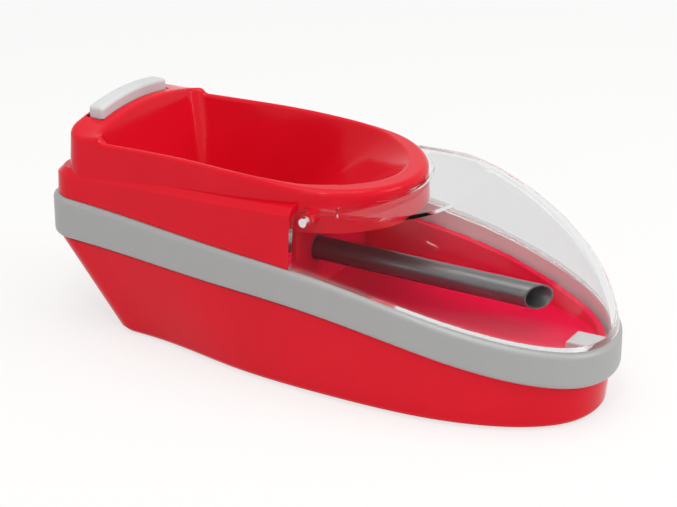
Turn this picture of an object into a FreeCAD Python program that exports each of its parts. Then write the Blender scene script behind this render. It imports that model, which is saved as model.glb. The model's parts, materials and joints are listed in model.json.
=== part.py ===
import FreeCAD, Part
import math
import os
from FreeCAD import Vector as V

# Electric filling machine for filter tubes. Millimetres, +Z up, +X towards the nose.
# The origin lies on the table under the middle of the body, and Y = 0 is the plane of symmetry.

# Plan of the body at the trim band
band_nose = 82.0
band_rear = -86.0
band_half = 33.0
band_half_rear = 29.0
band_corner = 9.0
belly_x = 15.0
bow_power = 2.25

# Trim band, bent once along its length
band_height = 10.4
band_wall = 2.4
band_round = 1.6
sheer_knee_x = 14.0
sheer_knee_z = 25.6
sheer_rear_fall = 1.6
band_top_fall = 2.8
sheer_bow_fall = 12.0
sheer_radius = 320.0
seam = 0.15

# Lower hull
foot_proud = 0.6
hull_wall = 2.2
hull_tuck = 1.0
bow_rake = 2.8
transom_rake = 18.3
bilge = 1.4
base_round = 1.2
base_taper = 4.2

# Upper housing: side walls, shoulder, tier with the hopper rim
housing_wall = 2.2
housing_tuck = 0.7
housing_lean = 0.9
shoulder_z = 53.8
shoulder_rise = 0.062
shoulder_ledge = 1.9
tier_inset = 4.4
tier_lean = 1.0
tier_rear = -80.6
tier_nose = 22.6
tier_belly = -8.0
tier_corner = 8.0
tier_taper = 0.8
rim_z = 58.4
rim_fall = 0.0575
rim_round = 1.8
mouth_round = 1.2
crest_rise = 1.0
crest_sag = 3.0
crest_half = 22.0
crest_front = -56.0
crest_thick = 3.0
leg_root = 6.0

# Hopper cavity: rim, waist and trough
rim_width = 3.4
hopper_rear = -68.0
hopper_corner = 4.0
hopper_nose = 17.8
hopper_taper = 0.6
round_power = 2.0
waist_z = 38.0
waist_rear = -62.5
waist_half = 20.5
waist_nose = -15.5
waist_belly = -24.0
trough_z = 26.6
trough_rear = -50.0
trough_half = 3.7
trough_nose = -23.0
trough_belly = -27.0

# Feed line
axis_z = 30.0
nozzle_r = 3.5
nozzle_wall = 0.4
nozzle_swell = 0.2
nozzle_tip = 62.0
nozzle_cut = 38.0
nozzle_back = -20.0
snout_wall = 1.4
snout_front = -14.2
collar_length = 1.7
collar_wall = 0.7
auger_r = 2.75
auger_core = 1.2
auger_pitch = 7.0
auger_front = 40.0
flight_thick = 1.0
flight_root = 0.7
auger_tail = 1.4
running_gap = 0.05
free_gap = 0.3

# Chamber deck under the cover
deck_wall = 2.2
deck_floor_z = 18.0
deck_skin = 0.6
pan_drop = 4.0
bulkhead_x = -9.8
catch_length = 6.0
catch_half = 4.0
catch_top = 21.0
catch_round = 0.6

# Clear cover
cover_wall = 2.0
cover_rear = 0.0
cover_gap = 0.5
dome_base = 18.0
dome_top = 58.2
dome_levels = (-0.3, 0.1, 0.3, 0.5, 0.68, 0.82, 0.92, 0.98)
dome_nose_power = 2.2
dome_side_power = 7.0
lip_gap = 0.5
skirt_drop = 1.0
hinge_x = 3.7
hinge_z = 50.6
ear_r = 3.4
hinge_pin_r = 1.2
lug_r = 2.0
swing_steps = (0, 5, 10, 15, 20, 28, 36, 44, 52, 60, 68, 76)

# Rocker on the crest
rocker_x = -74.8
rocker_depth = 5.2
rocker_half = 16.0
rocker_height = 3.4
rocker_sink = 0.4
rocker_round = 1.1
seat_depth = 2.1
seat_gap = 0.8
seat_side = 0.4
stem_half = 4.0
stem_thick = 2.2
stem_tail = 1.8
stem_slot = 1.2
slot_depth = 3.0
pivot_z = 57.2
pivot_r = 0.9
switch_half = 9.0
switch_depth = 4.2
switch_height = 9.0
ear_wall = 0.8

# Drive
motor_r = 10.0
motor_length = 28.0
motor_shaft_r = 1.0
motor_cap = 3.0
motor_cap_step = 1.0
motor_rib = 3.0
motor_rib_half = 8.0
motor_rib_drop = 4.5
motor_lift = 0.35
plate_x = -61.0
plate_thick = 1.8
wheel_module = 0.6
pinion_teeth = 10
idler_teeth = 36
final_module = 0.8
idler_pinion_teeth = 12
auger_teeth = 30
wheel_width = 3.0
final_width = 3.5
wheel_gap = 0.7
tooth_root = 0.34
tooth_middle = 0.22
tooth_tip = 0.09
tooth_depth = 1.25
tooth_height = 0.9
axle_r = 1.0
axle_tail = 1.2
bush_r = 2.6
bush_length = 2.4
bush_proud = 0.4
clip_thick = 0.6
plate_rise = 6.0
motor_boss_r = 3.0
shaft_depth = 20.0
press_gap = 0.02

# Electrics
board_x = -22.0
board_length = 38.0
board_half = 13.0
board_thick = 1.6
board_z = 5.4
board_post_r = 2.2
board_post_x = 4.0
board_post_y = 3.0
board_head = 1.2
relay_x, relay_y, relay_z = 8.0, 7.0, 6.0
relay_step = 10.0
chip_x, chip_y, chip_z = 5.0, 6.0, 1.6
plug_x, plug_y, plug_z = 6.0, 7.0, 5.0
capacitor_r = 3.1
capacitor_z = 7.0
inlet_y = -16.0
inlet_z = 14.5
inlet_r = 4.0
inlet_bore = 2.75
inlet_pin = 1.0
inlet_length = 8.0
inlet_depth = 6.5
inlet_block = 3.0
inlet_flange = 1.0
inlet_pin_back = 1.0
board_screw_r = 0.9

# Fasteners and feet
foot_r = 4.5
foot_thick = 1.8
foot_rear_x = -52.0
foot_rear_y = 13.0
foot_front_x = 58.0
foot_front_y = 12.0
screw_r = 1.3
screw_head_r = 2.6
screw_head = 1.8
boss_r = 3.6
front_screw_x = 44.0
front_screw_y = 14.0
rear_screw_x = -42.0
rear_screw_y = 19.0
screw_grip = 9.0
screw_bite = 4.0
plate_screw_y = 18.6
plate_screw_r = 1.1
plate_screw_play = 0.06
plate_head_r = 2.1
plate_head = 0.5
plate_screw_rise = 3.2
plate_screw_bite = 5.0
plate_lug = 7.0
plate_lug_half = 2.6
rim_steps = 24
rim_slack = 0.05
root = 0.2
past = 1.0
REACH = 200.0

# Places worked out from the sizes above
hull_floor = foot_proud + hull_wall
nozzle_root_r = nozzle_r + nozzle_swell
snout_r = nozzle_root_r + snout_wall
collar_r = nozzle_root_r + collar_wall
motor_cap_r = motor_r - motor_cap_step
motor_z = hull_floor + motor_lift + motor_r
motor_front = plate_x + motor_length
skirt_z = hinge_z - ear_r - skirt_drop
leg_bottom = hull_floor + screw_grip
deck_boss_z = deck_floor_z - deck_wall - screw_grip / 2
wheel_x1 = plate_x - plate_thick - wheel_gap
wheel_x0 = wheel_x1 - wheel_width
final_x1 = wheel_x0 - wheel_gap
final_x0 = final_x1 - final_width
wheel_reach = wheel_module * (pinion_teeth + idler_teeth) / 2
final_reach = final_module * (idler_pinion_teeth + auger_teeth) / 2
span = axis_z - motor_z
idler_z = motor_z + (span ** 2 + wheel_reach ** 2 - final_reach ** 2) / (2 * span)
idler_y = math.sqrt(wheel_reach ** 2 - (idler_z - motor_z) ** 2)
plate_screw_z = hull_floor + plate_screw_rise


def box(x0, x1, y0, y1, z0, z1):
    return Part.makeBox(x1 - x0, y1 - y0, z1 - z0, V(x0, y0, z0))


def rod_x(x0, x1, y, z, r):
    return Part.makeCylinder(r, x1 - x0, V(x0, y, z), V(1, 0, 0))


def rod_y(y0, y1, x, z, r):
    return Part.makeCylinder(r, y1 - y0, V(x, y0, z), V(0, 1, 0))


def rod_z(z0, z1, x, y, r):
    return Part.makeCylinder(r, z1 - z0, V(x, y, z0))


def fuse(shapes):
    return shapes[0].fuse(shapes[1:]).removeSplitter()


def outline(z, rear, nose, half, half_rear, corner, belly, power):
    # Closed plan: straight stern, round corners, swelling sides and a full bow.
    side = [(rear + corner, half_rear)]
    side.append(((rear + corner + belly) / 2, half - (half - half_rear) / 4))
    side.append((belly, half))
    for t in (0.35, 0.62, 0.82, 0.95):
        side.append((belly + t * (nose - belly), half * (1 - t ** power) ** (1 / power)))
    near = [V(x, -y, z) for x, y in side]
    far = [V(x, y, z) for x, y in reversed(side)]
    bow = Part.BSplineCurve()
    bow.interpolate(near + [V(nose, 0, z)] + far, InitialTangent=V(1, 0, 0), FinalTangent=V(-1, 0, 0))
    bend = corner * (1 - math.sqrt(0.5))
    flat = half_rear - corner
    turn = [(rear + corner, half_rear), (rear + bend, half_rear - bend), (rear, flat)]
    far_arc = Part.Arc(*[V(x, y, z) for x, y in turn])
    near_arc = Part.Arc(*[V(x, -y, z) for x, y in reversed(turn)])
    stern = Part.LineSegment(V(rear, flat, z), V(rear, -flat, z))
    return Part.Wire([curve.toShape() for curve in (bow, far_arc, stern, near_arc)])


def loft(wires, ruled=True):
    return Part.makeLoft(wires, True, ruled)


def band_plan(z, inset):
    half = band_half - inset
    half_rear = band_half_rear - inset
    corner = band_corner - inset / 2
    return outline(z, band_rear + inset, band_nose - inset, half, half_rear, corner, belly_x, bow_power)


def hull_share(z):
    # How far down the hull a level lies: 0 at the band, 1 at the base.
    top = sheer_z(band_rear)
    return (top - z) / (top - foot_proud)


def hull_plan(z, inset):
    # The hull spreads from the base to the band, most at stern and bow.
    share = hull_share(z)
    inset = inset + hull_tuck
    rear = band_rear + inset + transom_rake * share
    nose = band_nose - inset - bow_rake * share
    half = band_half - inset - bilge * share
    half_rear = band_half_rear - inset - base_taper * share
    return outline(z, rear, nose, half, half_rear, band_corner - inset / 2, belly_x, bow_power)


def below_sheer(lift, rear_fall=sheer_rear_fall):
    # Everything under the bent line that the band follows, raised by lift.
    a = math.radians(rear_fall)
    b = math.radians(sheer_bow_fall)
    run = sheer_radius * math.tan((b - a) / 2)
    kx = sheer_knee_x
    kz = sheer_knee_z + lift
    p1 = V(kx - run * math.cos(a), 0, kz + run * math.sin(a))
    p2 = V(kx + run * math.cos(b), 0, kz - run * math.sin(b))
    mid = (a + b) / 2
    turn = V(p1.x - sheer_radius * math.sin(a), 0, p1.z - sheer_radius * math.cos(a))
    p12 = turn + V(sheer_radius * math.sin(mid), 0, sheer_radius * math.cos(mid))
    start = V(-REACH, 0, p1.z + (p1.x + REACH) * math.tan(a))
    end = V(REACH, 0, p2.z - (REACH - p2.x) * math.tan(b))
    low = V(REACH, 0, -REACH)
    back = V(-REACH, 0, -REACH)
    edges = [Part.LineSegment(start, p1), Part.Arc(p1, p12, p2), Part.LineSegment(p2, end)]
    edges += [Part.LineSegment(end, low), Part.LineSegment(low, back), Part.LineSegment(back, start)]
    face = Part.Face(Part.Wire([edge.toShape() for edge in edges]))
    face.translate(V(0, -REACH, 0))
    return face.extrude(V(0, 2 * REACH, 0))


def below_band_top(lift):
    return below_sheer(band_height + lift, band_top_fall)


def sheer_z(x):
    a = math.radians(sheer_rear_fall)
    b = math.radians(sheer_bow_fall)
    fall = a if x < sheer_knee_x else b
    return sheer_knee_z - (x - sheer_knee_x) * math.tan(fall)


def above_line(z0, slope):
    # Everything above the plane z = z0 + slope * x.
    pts = [V(-REACH, -REACH, z0 - slope * REACH), V(REACH, -REACH, z0 + slope * REACH)]
    pts += [V(REACH, -REACH, REACH), V(-REACH, -REACH, REACH)]
    face = Part.Face(Part.makePolygon(pts + pts[:1]))
    return face.extrude(V(0, 2 * REACH, 0))


def rim_at(x):
    return rim_z - rim_fall * x


def hull_block(inset, z0):
    return loft([hull_plan(z0, inset), hull_plan(sheer_z(band_rear) + 2 * band_height, inset)])


def lower_hull():
    z0 = foot_proud
    rows = [hull_plan(z0, base_round), hull_plan(z0 + base_round / 3, base_round / 3)]
    rows += [hull_plan(z0 + base_round, 0), hull_plan(sheer_knee_z + band_height, 0)]
    shell = loft(rows).cut(hull_block(hull_wall, hull_floor))
    solids = [shell.common(below_sheer(-seam))]
    for x in (plate_x + motor_length / 4, motor_front - motor_length / 4):
        x0, x1, half = x - motor_rib / 2, x + motor_rib / 2, motor_rib_half
        solids.append(box(x0, x1, -half, half, hull_floor - root, motor_z - motor_rib_drop))
    for x, y, top in screw_places():
        solids.append(rod_z(hull_floor - root, top - seam, x, y, boss_r))
    for x, y in board_posts():
        solids.append(rod_z(hull_floor - root, board_z - seam, x, y, board_post_r))
    for y in (-plate_screw_y, plate_screw_y):
        y0, y1, top = y - plate_lug_half, y + plate_lug_half, plate_screw_z + plate_lug_half
        solids.append(box(plate_x + seam, plate_x + plate_lug, y0, y1, hull_floor - root, top))
    hull = fuse(solids)
    cuts = [rod_x(plate_x, motor_front + past, 0, motor_z, motor_r + seam)]
    cuts.append(rod_x(-REACH, inlet_back, inlet_y, inlet_z, inlet_r + seam))
    for x, y, top in screw_places():
        cuts.append(rod_z(0, hull_floor + screw_head, x, y, screw_head_r + free_gap))
        cuts.append(rod_z(0, top, x, y, screw_r))
    for x, y in board_posts():
        cuts.append(rod_z(hull_floor, board_z, x, y, board_screw_r))
    for y in (-plate_screw_y, plate_screw_y):
        cuts.append(rod_x(plate_x, plate_x + plate_screw_bite + past, y, plate_screw_z, plate_screw_r))
    for x, y in foot_places():
        cuts.append(rod_z(0, foot_thick, x, y, foot_r + seam))
    for cut in cuts:
        hull = hull.cut(cut)
    return hull


def trim_band():
    low = sheer_z(band_nose) - band_height
    high = sheer_z(band_rear) + 2 * band_height
    ring = loft([band_plan(low, 0), band_plan(high, 0)])
    ring = ring.cut(loft([band_plan(low - past, band_wall), band_plan(high + past, band_wall)]))
    ring = ring.common(below_band_top(0)).cut(below_sheer(0))
    outer = [e for e in ring.Edges if on_outside(e)]
    return ring.makeFillet(band_round, outer)


def on_outside(edge):
    # Long edges on the outer face of the band: their middle lies on the outer plan.
    mid = edge.valueAt((edge.FirstParameter + edge.LastParameter) / 2)
    face = Part.Face(band_plan(mid.z, band_wall / 2))
    level = abs(edge.tangentAt((edge.FirstParameter + edge.LastParameter) / 2).z) < 0.5
    return level and not face.isInside(mid, 0.01, True)


def housing_plan(z, inset):
    share = (z - sheer_knee_z) / (shoulder_z - sheer_knee_z)
    inset = inset + housing_tuck + housing_lean * share
    return band_plan(z, inset)


def wall_block(inset):
    # Body of the housing behind the cover, under the shoulder plane.
    body = loft([housing_plan(sheer_z(band_nose), inset), housing_plan(shoulder_z + band_half, inset)])
    body = body.cut(above_line(shoulder_z - inset, shoulder_rise))
    return body.cut(box(cover_rear - seam, REACH, -REACH, REACH, -REACH, REACH))


def slanted_ledge(block):
    # The shoulder edge is chamfered all round the stern and both sides.
    edges = []
    for edge in block.Edges:
        mid = edge.valueAt((edge.FirstParameter + edge.LastParameter) / 2)
        ends = [mid] + [vertex.Point for vertex in edge.Vertexes]
        level = all(abs(p.z - shoulder_z - shoulder_rise * p.x) < 0.01 for p in ends)
        if level and mid.x < cover_rear - 2 * seam:
            edges.append(edge)
    return block.makeChamfer(shoulder_ledge, edges)


def tier_plan(z, outset):
    share = (z - waist_z) / (rim_z - waist_z)
    outset = outset - tier_lean * share
    half = band_half - tier_inset + outset
    half_rear = half - tier_taper
    corner = tier_corner + outset / 2
    return outline(z, tier_rear - outset, tier_nose + outset, half, half_rear, corner, tier_belly, round_power)


def tier_block(outset, low=waist_z):
    return loft([tier_plan(low, outset), tier_plan(rim_at(tier_rear) + band_height, outset)])


def crest_arch(drop, x0, x1, half):
    # Solid under the arched top of the crest, lowered by drop.
    z_mid = rim_at(rocker_x) + crest_rise - drop
    z_end = z_mid - crest_sag * (half / crest_half) ** 2
    z_low = rim_at(rocker_x) - crest_thick
    corners = [V(x0, half, z_end), V(x0, half, z_low), V(x0, -half, z_low), V(x0, -half, z_end)]
    edges = [Part.Arc(corners[3], V(x0, 0, z_mid), corners[0])]
    edges += [Part.LineSegment(a, b) for a, b in zip(corners, corners[1:])]
    face = Part.Face(Part.Wire([edge.toShape() for edge in edges]))
    return face.extrude(V(x1 - x0, 0, 0))


def hopper(outset):
    # Funnel from the rim through the waist to the trough round the feed screw.
    top = rim_at(hopper_rear) + band_height
    half = band_half - tier_inset - rim_width
    lift = (top - rim_z) / (rim_z - waist_z)
    rear = hopper_rear - (waist_rear - hopper_rear) * lift - outset
    nose = hopper_nose + (hopper_nose - waist_nose) * lift + outset
    half = half + (half - waist_half) * lift + outset
    corner = hopper_corner + outset
    rows = [outline(top, rear, nose, half, half - hopper_taper, corner, tier_belly, round_power)]
    half = waist_half + outset
    rows.append(outline(waist_z - outset / 2, waist_rear - outset, waist_nose + outset, half,
                        half - hopper_taper, corner, waist_belly, round_power))
    half = trough_half + outset
    corner = trough_half / 2 + outset
    rows.append(outline(trough_z - outset, trough_rear - outset, trough_nose + outset, half,
                        half - seam, corner, trough_belly, round_power))
    return loft(rows)


def rim_height(x, y):
    # The rim is level across at the front and arched over the crest at the rear.
    t = min(1.0, max(0.0, (crest_front - x) / (crest_front - rocker_x)))
    share = t * t * (3 - 2 * t)
    return rim_at(x) + share * (crest_rise - crest_sag * (y / crest_half) ** 2)


def above_rim(drop):
    # Everything above the surface of the rim, lowered by drop.
    xs = [band_rear + k * (band_nose - band_rear) / rim_steps for k in range(rim_steps + 1)]
    ys = [k * band_half / 2 for k in (-2, -1, 0, 1, 2)]
    surface = Part.BSplineSurface()
    surface.interpolate([[V(x, y, rim_height(x, y) - drop) for y in ys] for x in xs])
    return surface.toShape().extrude(V(0, 0, REACH))


def rim_edges(shape, inset):
    # Edges on the rim's surface that lie further in than inset from the tier's outline.
    found = []
    for edge in shape.Edges:
        mid = edge.valueAt((edge.FirstParameter + edge.LastParameter) / 2)
        points = [mid] + [vertex.Point for vertex in edge.Vertexes]
        on_rim = all(abs(p.z - rim_height(p.x, p.y)) < rim_slack for p in points)
        if on_rim and Part.Face(tier_plan(mid.z, -inset)).isInside(mid, rim_slack, True):
            found.append(edge)
    return found


def tier_shell():
    block = tier_block(0).cut(above_rim(0))
    block = block.makeFillet(rim_round, rim_edges(block, -past))
    hollow = tier_block(-housing_wall).cut(above_rim(crest_thick))
    skirt = box(cover_rear - seam, REACH, -REACH, REACH, -REACH, skirt_z)
    return block.cut(hollow).cut(skirt)


def side_rod(side, y0, y1, r):
    # Rod on the hinge line, from y0 out to y1 on one side of the body.
    return rod_y(min(side * y0, side * y1), max(side * y0, side * y1), hinge_x, hinge_z, r)


def rocker_box(side, end):
    x0 = rocker_x - rocker_depth / 2 - side
    x1 = rocker_x + rocker_depth / 2 + side
    return x0, x1, rocker_half + end


def rocker_seat():
    x0, x1, half = rocker_box(seat_side, seat_gap)
    top = rim_at(rocker_x) + crest_rise + past
    pocket = crest_arch(-past, x0, x1, half).cut(crest_arch(seat_depth, x0, x1, half))
    reach = stem_half + stem_slot
    depth = stem_thick / 2 + seat_side
    slot = box(rocker_x - depth, rocker_x + depth, -reach, reach, pivot_z - slot_depth, top)
    return pocket.fuse(slot)


def upper_housing():
    walls = slanted_ledge(wall_block(0)).cut(wall_block(housing_wall)).cut(tier_block(-housing_wall))
    walls = walls.fuse(tier_shell()).cut(below_band_top(seam))
    bowl = hopper(housing_wall).cut(above_rim(crest_thick / 2))
    snout = rod_x(trough_nose - housing_wall, snout_front, 0, axis_z, snout_r)
    solids = [walls, bowl, snout]
    for side in (-1, 1):
        solids.append(rod_z(leg_bottom, waist_z + leg_root, rear_screw_x, side * rear_screw_y, boss_r))
        solids.append(side_rod(side, lug_in, lug_out, lug_r))
    housing = fuse(solids).cut(hopper(0))
    housing = housing.makeFillet(mouth_round, rim_edges(housing, (rim_round + rim_width) / 2))
    cuts = [rocker_seat()]
    cuts.append(rod_x(nozzle_back, snout_front + past, 0, axis_z, nozzle_root_r))
    mouth_x = trough_nose - housing_wall - past
    cuts.append(rod_x(mouth_x, nozzle_back + past, 0, axis_z, nozzle_r - nozzle_wall))
    cuts.append(rod_x(plate_x, trough_rear + housing_wall, 0, axis_z, auger_core + free_gap))
    for side in (-1, 1):
        y = side * rear_screw_y
        cuts.append(rod_z(leg_bottom - past, leg_bottom + screw_grip, rear_screw_x, y, screw_r))
        cuts.append(side_rod(side, pin_in, pin_out, hinge_pin_r))
    for cut in cuts:
        housing = housing.cut(cut)
    return housing


def pan_block(inset, z0):
    # Room inside the band and the hull, above z0.
    high = sheer_z(band_rear) + 2 * band_height
    inside = band_wall + seam + inset
    block = loft([band_plan(z0, inside), band_plan(high, inside)])
    return block.common(hull_block(hull_wall + seam + inset, z0))


def chamber_deck():
    # Pan under the cover, closed at the back by a bulkhead round the nozzle.
    low = deck_floor_z - deck_wall
    back = bulkhead_x - deck_wall
    behind = box(-REACH, back, -REACH, REACH, -REACH, REACH)
    block = pan_block(0, low).common(below_band_top(-pan_drop))
    pan = block.cut(pan_block(deck_wall, deck_floor_z)).cut(behind)
    slab = box(back, bulkhead_x, -REACH, REACH, low, shoulder_z)
    sides = box(back, bulkhead_x, -REACH, REACH, low, waist_z - free_gap)
    sides = sides.common(wall_block(housing_wall + free_gap)).cut(below_band_top(-pan_drop))
    middle = slab.common(tier_block(-housing_wall - free_gap, low)).cut(below_band_top(-pan_drop))
    bulkhead = fuse([slab.common(block), sides, middle])
    bulkhead = bulkhead.cut(hopper(housing_wall + free_gap))
    solids = [pan, bulkhead]
    for side in (-1, 1):
        solids.append(rod_z(deck_boss_z, low + root, front_screw_x, side * front_screw_y, boss_r))
    deck = fuse(solids)
    deck = deck.cut(rod_x(back - past, bulkhead_x + past, 0, axis_z, nozzle_root_r + seam))
    for side in (-1, 1):
        deck = deck.cut(rod_z(0, deck_floor_z - deck_skin, front_screw_x, side * front_screw_y, screw_r))
    return deck


def dome_share(z, power):
    t = max(0.0, (z - dome_base) / (dome_top - dome_base))
    return (1 - t ** power) ** (1 / power)


def dome(inset):
    # Clear dome as level outlines that draw in towards the top.
    rows = []
    tuck = housing_tuck + inset
    for t in dome_levels:
        z = dome_base + t * (dome_top - dome_base)
        nose = belly_x + (band_nose - tuck - belly_x) * dome_share(z, dome_nose_power)
        half = (band_half - tuck) * dome_share(z, dome_side_power)
        rows.append(outline(z - inset, cover_rear - belly_x, nose, half, half, hinge_x, belly_x, bow_power))
    return loft(rows, False)


def clear_cover():
    shell = dome(0).cut(above_line(shoulder_z, shoulder_rise))
    shell = shell.cut(dome(cover_wall).cut(above_line(shoulder_z - cover_wall, shoulder_rise)))
    shell = shell.cut(box(-REACH, cover_rear, -REACH, REACH, -REACH, REACH))
    shell = shell.cut(below_band_top(cover_gap))
    corner = box(cover_rear - past, hinge_x, -REACH, REACH, hinge_z, REACH)
    shell = shell.cut(corner.cut(rod_y(-REACH, REACH, hinge_x, hinge_z, ear_r)))
    tier = tier_block(lip_gap).cut(box(-REACH, REACH, -REACH, REACH, -REACH, skirt_z))
    tier = tier.cut(above_line(rim_z + lip_gap, -rim_fall))
    for angle in swing_steps:
        swung = tier.copy()
        swung.rotate(V(hinge_x, 0, hinge_z), V(0, 1, 0), angle)
        shell = shell.cut(swung)
    for side in (-1, 1):
        shell = shell.cut(side_rod(side, lug_in, lug_out + free_gap, lug_r + free_gap))
        shell = shell.cut(side_rod(side, pin_in, pin_out + cover_wall, hinge_pin_r + running_gap))
    return shell


def hinge_pins():
    return Part.makeCompound([side_rod(side, pin_in, pin_out, hinge_pin_r) for side in (-1, 1)])


def cover_catch():
    # Grey block in the nose of the pan, with a lip over the rim of the pan.
    nose = band_nose - hull_tuck - bow_rake * hull_share(deck_floor_z) - hull_wall - seam - deck_wall
    back = nose - catch_length
    lip_nose = band_nose - band_wall - 2 * free_gap
    foot = box(back, nose - 2 * free_gap, -catch_half, catch_half, deck_floor_z, catch_top)
    lip_z = sheer_z(nose) + band_height - pan_drop + free_gap
    lip = box(back, lip_nose, -catch_half, catch_half, lip_z, catch_top)
    block = foot.fuse(lip).removeSplitter()
    top = [edge for edge in block.Edges if edge.BoundBox.ZMin > catch_top - 0.01]
    return block.makeFillet(catch_round, top)


def nozzle():
    length = nozzle_tip - nozzle_back
    tube = rod_x(nozzle_back, nozzle_tip, 0, axis_z, nozzle_r)
    tube = tube.fuse(rod_x(nozzle_back, bulkhead_x, 0, axis_z, nozzle_root_r))
    tube = tube.cut(rod_x(nozzle_back - past, nozzle_tip + past, 0, axis_z, nozzle_r - nozzle_wall))
    knife = box(0, length, -length, length, -length, length)
    knife.rotate(V(0, 0, 0), V(0, 0, 1), -nozzle_cut)
    knife.translate(V(nozzle_tip, nozzle_r, axis_z))
    return tube.cut(knife)


def nozzle_collar():
    x1 = bulkhead_x - deck_wall - seam
    ring = rod_x(x1 - collar_length, x1, 0, axis_z, collar_r)
    return ring.cut(rod_x(x1 - collar_length - past, x1 + past, 0, axis_z, nozzle_root_r + press_gap))


def auger():
    # Feed screw on a plain shaft that ends behind the last wheel.
    start = trough_rear + past
    shaft = rod_x(final_x0 - auger_tail, auger_front, 0, axis_z, auger_core)
    helix = Part.makeHelix(auger_pitch, auger_front - start, auger_r)
    inner, outer, half = auger_core * flight_root, auger_r, flight_thick / 2
    pts = [V(inner, 0, -half), V(outer, 0, -half), V(outer, 0, half), V(inner, 0, half)]
    profile = Part.Wire(Part.makePolygon(pts + pts[:1]))
    flight = Part.Wire(helix).makePipeShell([profile], True, True)
    flight.rotate(V(0, 0, 0), V(0, 1, 0), 90)
    flight.translate(V(start, 0, axis_z))
    return shaft.fuse(flight)


def gear(module, teeth, x0, x1, y, z, phase):
    # Toothed wheel with straight flanks; a tooth stands at the phase angle from +Y towards +Z.
    pitch_r = module * teeth / 2
    step = 2 * math.pi / teeth
    marks = [(-tooth_root, pitch_r - tooth_depth * module), (-tooth_middle, pitch_r)]
    marks.append((-tooth_tip, pitch_r + tooth_height * module))
    marks += [(-share, r) for share, r in reversed(marks)]
    pts = []
    for k in range(teeth):
        for share, r in marks:
            turn = phase + (k + share) * step
            pts.append(V(x0, y + r * math.cos(turn), z + r * math.sin(turn)))
    face = Part.Face(Part.makePolygon(pts + pts[:1]))
    return face.extrude(V(x1 - x0, 0, 0))


def meshing_phase(teeth, phase, other_teeth, direction):
    # Phase of the second wheel so that its gap meets a tooth of the first.
    here = (direction - phase) * teeth / (2 * math.pi)
    return direction + math.pi - (0.5 - here) * 2 * math.pi / other_teeth


def phases():
    to_idler = math.atan2(idler_z - motor_z, idler_y)
    to_auger = math.atan2(axis_z - idler_z, -idler_y)
    idler = meshing_phase(pinion_teeth, 0.0, idler_teeth, to_idler)
    final = meshing_phase(idler_pinion_teeth, idler, auger_teeth, to_auger)
    return idler, final


def motor_pinion():
    wheel = gear(wheel_module, pinion_teeth, wheel_x0, wheel_x1, 0, motor_z, 0.0)
    return wheel.cut(rod_x(wheel_x0 - past, wheel_x1 + past, 0, motor_z, motor_shaft_r + press_gap))


def idler_gear():
    phase = phases()[0]
    wheel = gear(wheel_module, idler_teeth, wheel_x0, wheel_x1, idler_y, idler_z, phase)
    small = gear(final_module, idler_pinion_teeth, final_x0, wheel_x0, idler_y, idler_z, phase)
    whole = wheel.fuse(small)
    return whole.cut(rod_x(final_x0 - past, wheel_x1 + past, idler_y, idler_z, axle_r + running_gap))


def auger_gear():
    wheel = gear(final_module, auger_teeth, final_x0, final_x1, 0, axis_z, phases()[1])
    return wheel.cut(rod_x(final_x0 - past, final_x1 + past, 0, axis_z, auger_core + press_gap))


def auger_spacer():
    x0, x1 = final_x1 + press_gap, plate_x - plate_thick - bush_proud - seam
    ring = rod_x(x0, x1, 0, axis_z, bush_r - free_gap)
    return ring.cut(rod_x(x0 - past, x1 + past, 0, axis_z, auger_core + press_gap))


def auger_bush():
    x0 = plate_x - plate_thick - bush_proud
    ring = rod_x(x0, x0 + bush_length, 0, axis_z, bush_r)
    return ring.cut(rod_x(x0 - past, x0 + bush_length + past, 0, axis_z, auger_core + running_gap))


def idler_axle():
    return rod_x(final_x0 - axle_tail, plate_x, idler_y, idler_z, axle_r)


def idler_clip():
    x1 = final_x0 - seam
    ring = rod_x(x1 - clip_thick, x1, idler_y, idler_z, 2 * axle_r)
    return ring.cut(rod_x(x1 - past, x1 + past, idler_y, idler_z, axle_r + press_gap))


def gear_plate():
    plate = box(plate_x - plate_thick, plate_x, -band_half, band_half, 0, axis_z + plate_rise)
    plate = plate.common(pan_block(0, hull_floor + seam))
    plate = plate.cut(hopper(housing_wall + free_gap))
    x0, x1 = plate_x - 2 * plate_thick, plate_x + plate_thick
    holes = [rod_x(x0, x1, 0, axis_z, bush_r + press_gap)]
    holes.append(rod_x(x0, x1, 0, motor_z, motor_boss_r + press_gap))
    holes.append(rod_x(x0, x1, idler_y, idler_z, axle_r + press_gap))
    for y in (-plate_screw_y, plate_screw_y):
        holes.append(rod_x(x0, x1, y, plate_screw_z, plate_screw_r + press_gap))
    for hole in holes:
        plate = plate.cut(hole)
    return plate


def plate_screws():
    screws = []
    for y in (-plate_screw_y, plate_screw_y):
        x0 = plate_x - plate_thick
        head = rod_x(x0 - plate_head, x0, y, plate_screw_z, plate_head_r)
        shank = rod_x(x0, plate_x + plate_screw_bite, y, plate_screw_z, plate_screw_r - plate_screw_play)
        screws.append(head.fuse(shank))
    return Part.makeCompound(screws)


def motor():
    can = rod_x(plate_x + seam, motor_front, 0, motor_z, motor_r)
    boss = rod_x(plate_x - plate_thick, plate_x + past, 0, motor_z, motor_boss_r)
    bore = rod_x(plate_x - 2 * plate_thick, plate_x + shaft_depth, 0, motor_z, motor_shaft_r + running_gap)
    return can.fuse(boss).cut(bore)


def motor_shaft():
    return rod_x(wheel_x0 - seam, plate_x + shaft_depth - past, 0, motor_z, motor_shaft_r)


def motor_end_cap():
    return rod_x(motor_front + press_gap, motor_front + motor_cap, 0, motor_z, motor_cap_r)


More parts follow.
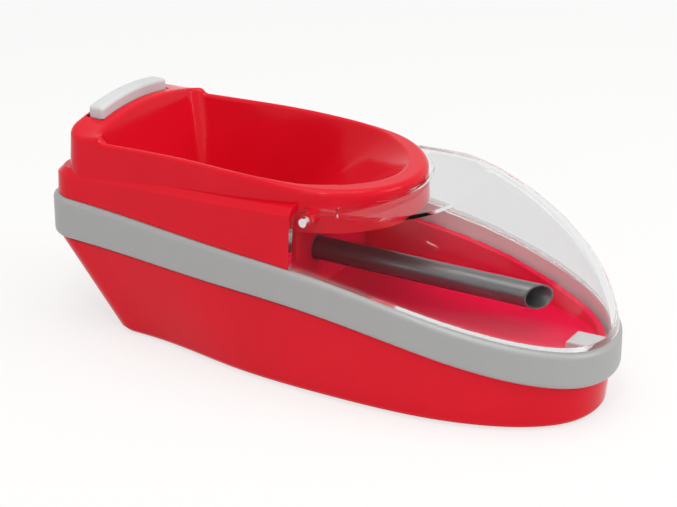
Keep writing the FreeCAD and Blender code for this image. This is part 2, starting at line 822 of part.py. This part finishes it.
def rocker_button():
    # Arched bar on the crest, with a stem down to the pivot.
    x0, x1, half = rocker_box(0, 0)
    bar = crest_arch(rocker_sink - rocker_height, x0, x1, half).cut(crest_arch(rocker_sink, x0, x1, half))
    low = max(edge.BoundBox.ZMin for edge in bar.Edges) - rocker_height / 2
    bar = bar.makeFillet(rocker_round, [edge for edge in bar.Edges if edge.BoundBox.ZMax > low])
    top = rim_at(rocker_x) + crest_rise - rocker_sink + rocker_height / 2
    thick = stem_thick / 2
    stem = box(rocker_x - thick, rocker_x + thick, -stem_half, stem_half, pivot_z - stem_tail, top)
    hole = rod_x(x0, x1, 0, pivot_z, pivot_r + running_gap)
    return bar.fuse(stem).removeSplitter().cut(hole)


def rocker_pin():
    return rod_x(rocker_x - switch_depth / 2, rocker_x + switch_depth / 2, 0, pivot_z, pivot_r)


def switch_body():
    # Change-over switch hung under the crest; two ears carry the pivot pin.
    x0, x1 = rocker_x - switch_depth / 2, rocker_x + switch_depth / 2
    floor = pivot_z - stem_tail - 2 * free_gap
    solids = [box(x0, x1, -switch_half, switch_half, floor - switch_height, floor)]
    ear_top = rim_at(rocker_x) - crest_thick - seam
    for ex in (x0, x1 - ear_wall):
        solids.append(box(ex, ex + ear_wall, -stem_half, stem_half, floor - past, ear_top))
    body = fuse(solids)
    return body.cut(rod_x(x0 - past, x1 + past, 0, pivot_z, pivot_r + press_gap))


def inlet_face():
    # Where the raked stern meets the lowest point of the inlet barrel.
    return band_rear + hull_tuck + transom_rake * hull_share(inlet_z - inlet_r)


def power_inlet():
    x0 = inlet_face()
    x1 = x0 + inlet_length
    side = inlet_r + inlet_flange
    barrel = rod_x(x0, x1, inlet_y, inlet_z, inlet_r)
    block = box(x1 - inlet_block, x1, inlet_y - side, inlet_y + side, inlet_z - side, inlet_z + side)
    body = barrel.fuse(block).removeSplitter()
    body = body.cut(rod_x(x0 - past, x0 + inlet_depth, inlet_y, inlet_z, inlet_bore))
    return body.fuse(rod_x(x0 + inlet_pin_back, x1 - past, inlet_y, inlet_z, inlet_pin)).removeSplitter()


def board_posts():
    xs = (board_x + board_post_x, board_x + board_length - board_post_x)
    return [(x, side * (board_half - board_post_y)) for x in xs for side in (-1, 1)]


def circuit_board():
    board = box(board_x, board_x + board_length, -board_half, board_half, board_z, board_z + board_thick)
    for x, y in board_posts():
        board = board.cut(rod_z(0, axis_z, x, y, board_screw_r + press_gap))
    return board


def board_screws():
    top = board_z + board_thick
    screws = []
    for x, y in board_posts():
        shank = rod_z(hull_floor + free_gap, top, x, y, board_screw_r - press_gap)
        screws.append(shank.fuse(rod_z(top, top + board_head, x, y, 2 * board_screw_r)))
    return Part.makeCompound(screws)


def board_components():
    top = board_z + board_thick
    relay_x0 = board_x + 2 * board_post_x - board_post_r
    chip_x0 = relay_x0 + relay_x + board_post_x
    plug_x0 = chip_x0 + chip_x + board_post_y
    parts = []
    for y in (-relay_step / 2, relay_step / 2):
        parts.append(box(relay_x0, relay_x0 + relay_x, y - relay_y / 2, y + relay_y / 2, top, top + relay_z))
    parts.append(box(chip_x0, chip_x0 + chip_x, -chip_y / 2, chip_y / 2, top, top + chip_z))
    parts.append(box(plug_x0, plug_x0 + plug_x, -plug_y - past, -past, top, top + plug_z))
    parts.append(rod_z(top, top + capacitor_z, plug_x0 + capacitor_r, past + capacitor_r, capacitor_r))
    return Part.makeCompound(parts)


def screw_places():
    rear = [(rear_screw_x, side * rear_screw_y, leg_bottom) for side in (-1, 1)]
    return rear + [(front_screw_x, side * front_screw_y, deck_boss_z) for side in (-1, 1)]


def base_screws():
    screws = []
    for x, y, top in screw_places():
        seat = hull_floor + screw_head
        head = rod_z(seat - screw_head, seat, x, y, screw_head_r)
        screws.append(head.fuse(rod_z(seat, top + screw_bite, x, y, screw_r - press_gap)))
    return Part.makeCompound(screws)


def foot_places():
    pairs = ((foot_rear_x, foot_rear_y), (foot_front_x, foot_front_y))
    return [(x, side * y) for x, y in pairs for side in (-1, 1)]


def rubber_feet():
    return Part.makeCompound([rod_z(0, foot_thick, x, y, foot_r) for x, y in foot_places()])


inlet_back = inlet_face() + inlet_length
cover_half = (band_half - housing_tuck) * dome_share(hinge_z, dome_side_power)
lug_in = band_half - tier_inset - 2 * housing_wall
lug_out = cover_half - cover_wall - free_gap
pin_in = lug_in
pin_out = cover_half - seam

NODES = {
    "lower_hull": lower_hull,
    "trim_band": trim_band,
    "upper_housing": upper_housing,
    "chamber_deck": chamber_deck,
    "clear_cover": clear_cover,
    "cover_hinge_pins": hinge_pins,
    "cover_catch": cover_catch,
    "nozzle": nozzle,
    "nozzle_collar": nozzle_collar,
    "auger": auger,
    "auger_gear": auger_gear,
    "auger_spacer": auger_spacer,
    "auger_bush": auger_bush,
    "idler_gear": idler_gear,
    "idler_axle": idler_axle,
    "idler_clip": idler_clip,
    "motor_pinion": motor_pinion,
    "motor_shaft": motor_shaft,
    "motor": motor,
    "motor_end_cap": motor_end_cap,
    "gear_plate": gear_plate,
    "plate_screws": plate_screws,
    "rocker_button": rocker_button,
    "rocker_pin": rocker_pin,
    "switch_body": switch_body,
    "power_inlet": power_inlet,
    "circuit_board": circuit_board,
    "board_screws": board_screws,
    "board_components": board_components,
    "base_screws": base_screws,
    "rubber_feet": rubber_feet,
}


def main():
    os.makedirs("parts", exist_ok=True)
    for name, make in NODES.items():
        shape = make()
        shape.translate(V(-(band_nose + band_rear) / 2, 0, 0))
        shape.exportStep("parts/" + name + ".step")
        size = shape.optimalBoundingBox(True, False)
        print(name, shape.isValid(), len(shape.Solids), round(shape.Volume, 1), size)


main()
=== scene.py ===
import json
import math
import bpy
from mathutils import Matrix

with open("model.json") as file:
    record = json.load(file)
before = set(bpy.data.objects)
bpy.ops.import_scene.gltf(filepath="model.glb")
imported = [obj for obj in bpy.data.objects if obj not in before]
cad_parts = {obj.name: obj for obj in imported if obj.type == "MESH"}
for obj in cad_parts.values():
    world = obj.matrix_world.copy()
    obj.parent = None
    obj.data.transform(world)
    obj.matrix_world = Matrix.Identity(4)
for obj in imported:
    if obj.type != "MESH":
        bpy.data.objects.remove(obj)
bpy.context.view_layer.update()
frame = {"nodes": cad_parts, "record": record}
NODES = frame["nodes"]
MM = 0.001

# Camera, from the outlines of the body: distances in mm, angles in degrees
IMAGE_WIDTH = 677
FOCAL_PIXELS = 2100
SENSOR_MM = 36.0
CAMERA_PLACE = (276.7, -472.0, 261.6)
CAMERA_RISE = 23.0
CAMERA_ROUND = 30.5
CAMERA_NEAR = 10.0

# Finishes, as linear colours
RED = (0.715, 0.006, 0.021)
RED_DEEP = (0.670, 0.005, 0.018)
# The pan's bluer red, painted lighter than the casing red to stand in for light it lacks in the shade under
# the cover and hopper
PAN_RED_PAINTED_LIGHT = (0.900, 0.004, 0.062)
PAN_DEEP_PAINTED_LIGHT = (0.850, 0.003, 0.055)
SILVER = (0.345, 0.347, 0.348)
SILVER_LIGHT = (0.390, 0.392, 0.394)
# Painted highlight colour for the band's inner lip on the far side
LIP_PAINTED_HIGHLIGHT = (0.86, 0.86, 0.85)
KEY_GREY = (0.640, 0.655, 0.670)
KEY_GREY_DARK = (0.570, 0.585, 0.600)
CATCH_WHITE = (0.70, 0.70, 0.70)
CATCH_SHADE = (0.65, 0.65, 0.65)
CLEAR_TINT = (0.870, 0.874, 0.878)
CLEAR_SHADE = (0.965, 0.965, 0.97)
PIN_PALE = (0.86, 0.84, 0.84)
STEEL = (0.36, 0.36, 0.37)
STEEL_LIGHT = (0.56, 0.56, 0.57)
TUBE = (0.17, 0.17, 0.175)
TUBE_LIGHT = (0.23, 0.23, 0.235)
BRASS = (0.62, 0.43, 0.16)
BRASS_DARK = (0.46, 0.30, 0.10)
ACETAL = (0.74, 0.73, 0.67)
ACETAL_DARK = (0.66, 0.64, 0.57)
BLACK = (0.020, 0.020, 0.021)
BLACK_WORN = (0.036, 0.036, 0.038)
BOARD = (0.016, 0.110, 0.045)
BOARD_DARK = (0.010, 0.070, 0.030)
WHITE = (1.0, 1.0, 1.0)

# Plan of the bow in metres, and where a painted highlight lies on the band's inner lip: by share of that plan
# and along the hull
BELLY_X = 0.017
BOW_LENGTH = 0.067
BOW_HALF = 0.033
BOW_POWER = 2.25
LIP_SHARE = (0.95, 0.93)
LIP_START = (0.0, 0.004)

# The cover's foot in metres: its height at four places along the hull and how far up it goes; then how
# strongly it is frosted all round, and how strongly a painted highlight lies on it on the far side
FOOT_LINE = ((0.0, 0.03710), (0.030, 0.03328), (0.060, 0.02716), (0.084, 0.02210))
FOOT_HIGH = 0.0009
FOOT_FAINT = 0.06
# Share of the painted highlight on the foot on the far side
FOOT_PAINTED_HIGHLIGHT = 0.45

# From the near half to the far half of the machine, across its middle: the painted highlights on the band's
# lip and the cover's foot fade in over it
FAR_SIDE = (-0.002, 0.006)

# Studio: the floor and the room show white to these rays
FLOOR = (0.90, 0.90, 0.90)
FLOOR_SIZE = 6.0
FLOOR_SHOWN = 0.7
ROOM_LIGHT = (0.94, 0.97, 1.0)
ROOM_STRENGTH = 0.50
SEEN_RAYS = ("Camera", "Glossy", "Transmission")
PASSING_RAYS = ("Shadow", "Diffuse")


class Value:
    """A number or colour in a finish's nodes: arithmetic on a number adds Math nodes."""

    def __init__(self, finish, socket):
        self.finish = finish
        self.socket = socket

    def __add__(self, other):
        return self.finish.math("ADD", self, other)

    def __radd__(self, other):
        return self.finish.math("ADD", other, self)

    def __sub__(self, other):
        return self.finish.math("SUBTRACT", self, other)

    def __rsub__(self, other):
        return self.finish.math("SUBTRACT", other, self)

    def __mul__(self, other):
        return self.finish.math("MULTIPLY", self, other)

    def __rmul__(self, other):
        return self.finish.math("MULTIPLY", other, self)


class Finish:
    """The nodes of one material, or of the room."""

    def __init__(self, owner):
        owner.use_nodes = True
        self.owner = owner
        self.tree = owner.node_tree
        self.tree.nodes.clear()

    def node(self, kind, settings=None, out=0, **inputs):
        # An input goes by its name, with _ for a space, or by its number, as i0 or i1.
        made = self.tree.nodes.new(kind)
        for key, value in (settings or {}).items():
            setattr(made, key, value)
        for key, value in inputs.items():
            socket = int(key[1:]) if key[1:].isdigit() else key.replace("_", " ")
            self.feed(made.inputs[socket], value)
        return Value(self, made.outputs[out]) if made.outputs else None

    def feed(self, socket, value):
        if isinstance(value, Value):
            self.tree.links.new(value.socket, socket)
        elif socket.type == "RGBA":
            socket.default_value = (*value, 1.0)
        else:
            socket.default_value = value

    def math(self, operation, a, b=0.0):
        return self.node("ShaderNodeMath", {"operation": operation}, i0=a, i1=b)

    def place(self, stretch=(1, 1, 1)):
        coordinates = self.node("ShaderNodeTexCoord", out="Object")
        return self.node("ShaderNodeMapping", Vector=coordinates, Scale=stretch)

    def axis(self, name):
        return self.node("ShaderNodeSeparateXYZ", Vector=self.place(), out=name)

    def noise(self, scale, detail=2.0, stretch=(1, 1, 1)):
        return self.node("ShaderNodeTexNoise", Vector=self.place(stretch), Scale=scale, Detail=detail)

    def band(self, value, start, end):
        # From 0 at start to 1 at end.
        return self.node("ShaderNodeMapRange", Value=value, From_Min=start, From_Max=end)

    def curve(self, value, points):
        # The height at value on the one smooth curve that goes through all the points.
        places = [place for place, height in points]
        steps = [height for place, height in points]
        for order in range(1, len(points)):
            for i in range(len(points) - 1, order - 1, -1):
                steps[i] = (steps[i] - steps[i - 1]) / (places[i] - places[i - order])
        height = steps[-1]
        for place, step in reversed(list(zip(places[:-1], steps[:-1]))):
            height = step + (value - place) * height
        return height

    def blend(self, mask, low, high):
        return self.node("ShaderNodeMix", {"data_type": "RGBA"}, out=2, i0=mask, i6=low, i7=high)

    def bump(self, height, strength, depth):
        return self.node("ShaderNodeBump", Height=height, Strength=strength, Distance=depth)

    def rays(self, kinds):
        # 1 for a ray of any of these kinds, and 0 for the rest.
        found = [self.node("ShaderNodeLightPath", out="Is %s Ray" % kind) for kind in kinds]
        mask = found[0]
        for other in found[1:]:
            mask = self.math("MAXIMUM", mask, other)
        return mask

    def body(self, **inputs):
        return self.node("ShaderNodeBsdfPrincipled", **inputs)

    def mix(self, mask, first, second):
        return self.node("ShaderNodeMixShader", i0=mask, i1=first, i2=second)

    def finish(self, shader, output="ShaderNodeOutputMaterial"):
        self.node(output, Surface=shader)
        return self.owner


def new_finish(name):
    return Finish(bpy.data.materials.new(name))


def shade(colour, share):
    return tuple(share * part for part in colour)


def casing_red(name="casing_red", low=RED_DEEP, high=RED):
    # Glossy moulded red: faint flow marks in the colour and a very fine skin.
    f = new_finish(name)
    flow = f.band(f.noise(scale=26.0, detail=3.0), start=0.35, end=0.65)
    skin = f.noise(scale=2600.0, detail=1.0)
    waves = f.noise(scale=70.0, detail=1.0)
    rough = 0.11 + 0.06 * f.noise(scale=180.0, detail=4.0)
    surface = f.bump(skin * 0.2 + waves, strength=0.05, depth=0.0004)
    return f.finish(f.body(Base_Color=f.blend(flow, low, high), Roughness=rough, Normal=surface,
                           IOR=1.21, Coat_Weight=0.05, Coat_Roughness=0.02))


def band_silver():
    # Satin silver-grey with fine flakes, and a painted highlight on the inner lip on the far side of the bow.
    f = new_finish("band_silver")
    flakes = f.band(f.noise(scale=5200.0), start=0.42, end=0.62)
    flow = f.noise(scale=40.0)
    silver = f.blend(flakes * 0.5 + flow * 0.5, SILVER, SILVER_LIGHT)
    x, y = f.axis("X"), f.axis("Y")
    along = f.math("MAXIMUM", (x - BELLY_X) * (1 / BOW_LENGTH), 0.0)
    across = f.math("ABSOLUTE", y) * (1 / BOW_HALF)
    plan = f.math("POWER", along, BOW_POWER) + f.math("POWER", across, BOW_POWER)
    # Painted highlight: only the inner lip on the far side is made pale, standing in for the light that falls
    # on it.
    painted_lip_highlight = f.band(plan, *LIP_SHARE) * f.band(x, *LIP_START) * f.band(y, *FAR_SIDE)
    rough = 0.36 + 0.10 * f.noise(scale=900.0)
    surface = f.bump(f.noise(scale=3000.0, detail=1.0), strength=0.06, depth=0.0002)
    return f.finish(f.body(Base_Color=f.blend(painted_lip_highlight, silver, LIP_PAINTED_HIGHLIGHT), Roughness=rough, Normal=surface,
                           Metallic=0.15, IOR=1.46))


def key_plastic(name="key_plastic", low=KEY_GREY_DARK, high=KEY_GREY):
    # Light grey satin plastic with a spark-eroded skin.
    f = new_finish(name)
    flow = f.band(f.noise(scale=60.0), start=0.3, end=0.7)
    rough = 0.38 + 0.1 * f.noise(scale=1500.0)
    surface = f.bump(f.noise(scale=3600.0), strength=0.10, depth=0.0002)
    return f.finish(f.body(Base_Color=f.blend(flow, low, high), Roughness=rough, Normal=surface, IOR=1.46))


def clear_plastic():
    # Clear moulded cover: tinted a little at each face, with faint flow waves and a foot that is faintly
    # frosted all round, with a painted highlight on the foot on the far side. Light falls through it.
    f = new_finish("clear_plastic")
    waves = f.bump(f.noise(scale=40.0, detail=1.0), strength=0.012, depth=0.0004)
    tint = f.blend(f.noise(scale=30.0), CLEAR_TINT, shade(CLEAR_TINT, 0.98))
    rough = 0.004 * f.noise(scale=400.0, detail=3.0)
    clear = f.body(Base_Color=tint, Roughness=rough, Normal=waves, Transmission_Weight=1.0, IOR=1.14)
    # The foot: a faint frost all round, and on the far side a painted highlight on top of it.
    frost_and_highlight = f.body(Base_Color=tint, Roughness=0.35, IOR=1.25)
    above_foot = f.axis("Z") - f.curve(f.axis("X"), FOOT_LINE)
    foot = f.band(above_foot, FOOT_HIGH, 0.5 * FOOT_HIGH)
    frost_and_highlight_share = FOOT_FAINT + FOOT_PAINTED_HIGHLIGHT * f.band(f.axis("Y"), *FAR_SIDE)
    wall = f.mix(foot * frost_and_highlight_share, clear, frost_and_highlight)
    passing = f.node("ShaderNodeBsdfTransparent", Color=CLEAR_SHADE)
    return f.finish(f.mix(f.rays(PASSING_RAYS), wall, passing))


def frosted_pin():
    # Pale moulded pin of the same clear plastic, frosted where it turns.
    f = new_finish("frosted_pin")
    rub = f.noise(scale=900.0, detail=3.0)
    return f.finish(f.body(Base_Color=f.blend(rub, PIN_PALE, WHITE), Roughness=0.3 + 0.2 * rub,
                           Transmission_Weight=0.25, IOR=1.3))


def drawn_metal(name, low, high, rough, spread=0.12, metallic=1.0, strength=0.06):
    # Metal with fine lines along the machine.
    f = new_finish(name)
    lines = f.noise(scale=1.0, detail=3.0, stretch=(30.0, 2600.0, 2600.0))
    colour = f.blend(f.band(lines, start=0.3, end=0.7), low, high)
    surface = f.bump(lines, strength, depth=0.0001)
    return f.finish(f.body(Base_Color=colour, Roughness=rough + spread * lines, Normal=surface,
                           Metallic=metallic))


def satin_tube():
    # The nozzle: the same drawn lines, with a soft grey shine.
    return drawn_metal("satin_tube", TUBE, TUBE_LIGHT, rough=0.26, spread=0.10, metallic=0.75, strength=0.05)


def plain_plastic(name, low, high, rough, scale=120.0):
    # Moulded plastic or rubber of the inner pieces, a little uneven in colour and shine.
    f = new_finish(name)
    flow = f.band(f.noise(scale, detail=3.0), start=0.3, end=0.7)
    surface = f.bump(f.noise(scale=2400.0), strength=0.12, depth=0.0002)
    return f.finish(f.body(Base_Color=f.blend(flow, low, high), Roughness=rough + 0.1 * flow, Normal=surface))


def board_mask():
    # Green board: darker tracks in a square pattern under the mask.
    f = new_finish("board_mask")
    tracks = f.node("ShaderNodeTexBrick", {"offset": 0.5}, out=1, Vector=f.place(), Scale=260.0,
                    Mortar_Size=0.04, Brick_Width=0.9, Row_Height=0.35)
    rough = 0.3 + 0.1 * f.noise(scale=700.0)
    surface = f.bump(tracks, strength=0.3, depth=0.0001)
    return f.finish(f.body(Base_Color=f.blend(tracks, BOARD, BOARD_DARK), Roughness=rough, Normal=surface))


def floor_paper():
    # Pale paper that shows white to the eye and in gloss and glass, with the shadow on it kept.
    f = new_finish("floor_paper")
    colour = f.blend(f.noise(scale=400.0), shade(FLOOR, 0.985), FLOOR)
    paper = f.body(Base_Color=colour, Roughness=0.9, Specular_IOR_Level=0.1)
    white = f.node("ShaderNodeEmission", Color=WHITE, Strength=1.0)
    return f.finish(f.mix(f.rays(SEEN_RAYS) * FLOOR_SHOWN, paper, white))


def finishes_for_slots():
    return {
        "casing_red": casing_red(),
        "band_grey": band_silver(),
        "cover_clear": clear_plastic(),
        "key_grey": key_plastic(),
        "steel": drawn_metal("drawn_steel", STEEL, STEEL_LIGHT, rough=0.20),
        "brass": drawn_metal("turned_brass", BRASS_DARK, BRASS, rough=0.25),
        "wheel_white": plain_plastic("acetal", ACETAL_DARK, ACETAL, rough=0.4),
        "inner_black": plain_plastic("black_plastic", BLACK, BLACK_WORN, rough=0.45),
        "foot_rubber": plain_plastic("foot_rubber", BLACK, BLACK_WORN, rough=0.75, scale=300.0),
        "board_green": board_mask(),
    }


def wear(node, material):
    NODES[node].material_slots[0].material = material


def dress(finishes):
    # Each node takes the finish of its slot, and four then get one of their own.
    for row in frame["record"]["subparts"]:
        wear(row["node"], finishes[row["material_slot"]])
    wear("nozzle", satin_tube())
    wear("cover_catch", key_plastic("catch_white", CATCH_SHADE, CATCH_WHITE))
    wear("cover_hinge_pins", frosted_pin())
    # The pan takes the casing finish in its lighter red: painted light for the shade it lies in.
    wear("chamber_deck", casing_red("pan_red_painted_light", PAN_DEEP_PAINTED_LIGHT, PAN_RED_PAINTED_LIGHT))


def studio():
    bpy.ops.object.select_all(action="DESELECT")
    bpy.ops.mesh.primitive_plane_add(size=FLOOR_SIZE, location=(0, 0, 0))
    floor = bpy.context.object
    floor.name = "studio_floor"
    floor.data.materials.append(floor_paper())
    lamp("top_softbox", place=(0.10, -0.12, 0.95), aim=(0, 0, 0), size=0.9, watts=5.2,
         colour=(1.0, 0.95, 0.86))
    lamp("front_fill", place=(0.34, -0.95, 0.52), aim=(0.02, 0, 0.03), size=0.7, watts=1.3,
         colour=(0.93, 0.97, 1.0))
    lamp("small_key", place=(0.25, -0.55, 0.85), aim=(0, 0, 0.04), size=0.08, watts=1.1,
         colour=(1.0, 0.97, 0.92))
    lamp("right_strip", place=(0.85, 0.25, 0.45), aim=(0.03, 0, 0.03), size=0.4, watts=2.0, colour=WHITE)


def lamp(name, place, aim, size, watts, colour):
    # A square lamp at a place, turned to its aim.
    data = bpy.data.lights.new(name, "AREA")
    data.shape = "SQUARE"
    data.size = size
    data.energy = watts
    data.color = colour
    light = bpy.data.objects.new(name, data)
    bpy.context.scene.collection.objects.link(light)
    light.location = place
    way = [a - b for a, b in zip(aim, place)]
    flat = math.hypot(way[0], way[1])
    light.rotation_euler = (math.atan2(flat, -way[2]), 0, math.atan2(way[1], way[0]) - math.pi / 2)


def pale_room():
    # Shows white to the eye and in gloss and glass, and lights the object more softly.
    f = Finish(bpy.data.worlds.new("pale_room"))
    soft = f.node("ShaderNodeBackground", Color=ROOM_LIGHT, Strength=ROOM_STRENGTH)
    white = f.node("ShaderNodeBackground", Color=WHITE, Strength=1.0)
    shown = f.mix(f.rays(SEEN_RAYS), soft, white)
    bpy.context.scene.world = f.finish(shown, "ShaderNodeOutputWorld")


def camera():
    data = bpy.data.cameras.new("camera")
    data.sensor_fit = "HORIZONTAL"
    data.sensor_width = SENSOR_MM
    data.lens = FOCAL_PIXELS / IMAGE_WIDTH * SENSOR_MM
    data.clip_start = CAMERA_NEAR * MM
    eye = bpy.data.objects.new("camera", data)
    bpy.context.scene.collection.objects.link(eye)
    eye.location = [c * MM for c in CAMERA_PLACE]
    eye.rotation_euler = (math.radians(90 - CAMERA_RISE), 0, math.radians(CAMERA_ROUND))
    bpy.context.scene.camera = eye


bpy.context.scene.view_settings.view_transform = "Standard"
dress(finishes_for_slots())
studio()
pale_room()
camera()
